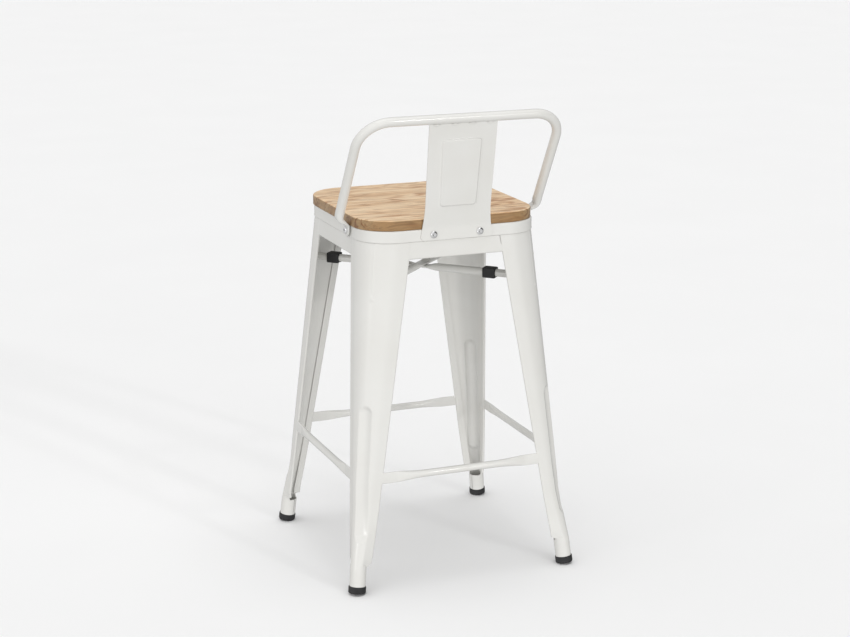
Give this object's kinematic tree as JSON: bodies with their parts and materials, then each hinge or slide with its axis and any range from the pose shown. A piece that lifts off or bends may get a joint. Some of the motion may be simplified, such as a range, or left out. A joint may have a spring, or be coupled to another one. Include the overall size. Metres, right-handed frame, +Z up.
{
  "type": "bar stool with footrest",
  "caption": "Square counter-height stool with a wooden seat on a pressed steel pan, splayed sheet legs, a tube footrest ring and a low hoop back with a centre splat.",
  "frame": {"origin": "on the floor, under the centre of the seat and midway between the four feet", "axes": "+Z up; -Y is the way the sitter faces, so the back is on the +Y side; +X is the sitter's left"},
  "size_m": [0.4036, 0.4036, 0.7839],
  "materials": {
    "powder_coat": "satin off-white powder coat",
    "seat_wood": "clear satin varnish over light brown wood with a fine straight grain",
    "black_rubber": "matt moulded black rubber",
    "chrome_screw": "polished chrome",
    "zinc_nut": "zinc plated"
  },
  "bodies": {
    "root": {"seat_board": "seat_wood", "seat_pan": "powder_coat", "leg_rear_left": "powder_coat", "leg_rear_right": "powder_coat", "leg_front_right": "powder_coat", "leg_front_left": "powder_coat", "foot_cap_rear_left": "black_rubber", "foot_cap_rear_right": "black_rubber", "foot_cap_front_right": "black_rubber", "foot_cap_front_left": "black_rubber", "apron_rear": "powder_coat", "apron_right": "powder_coat", "apron_front": "powder_coat", "apron_left": "powder_coat", "footrest_bar_rear": "powder_coat", "footrest_bar_right": "powder_coat", "footrest_bar_front": "powder_coat", "footrest_bar_left": "powder_coat", "cross_brace_lower": "powder_coat", "cross_brace_upper": "powder_coat", "brace_bumper_rear_left": "black_rubber", "brace_bumper_rear_right": "black_rubber", "brace_bumper_front_right": "black_rubber", "brace_bumper_front_left": "black_rubber", "back_hoop": "powder_coat", "back_splat": "powder_coat", "splat_screws": "chrome_screw", "splat_nuts": "zinc_nut", "hoop_screws": "chrome_screw", "hoop_nuts": "zinc_nut", "board_screws": "zinc_nut"}
  },
  "joints": []
}
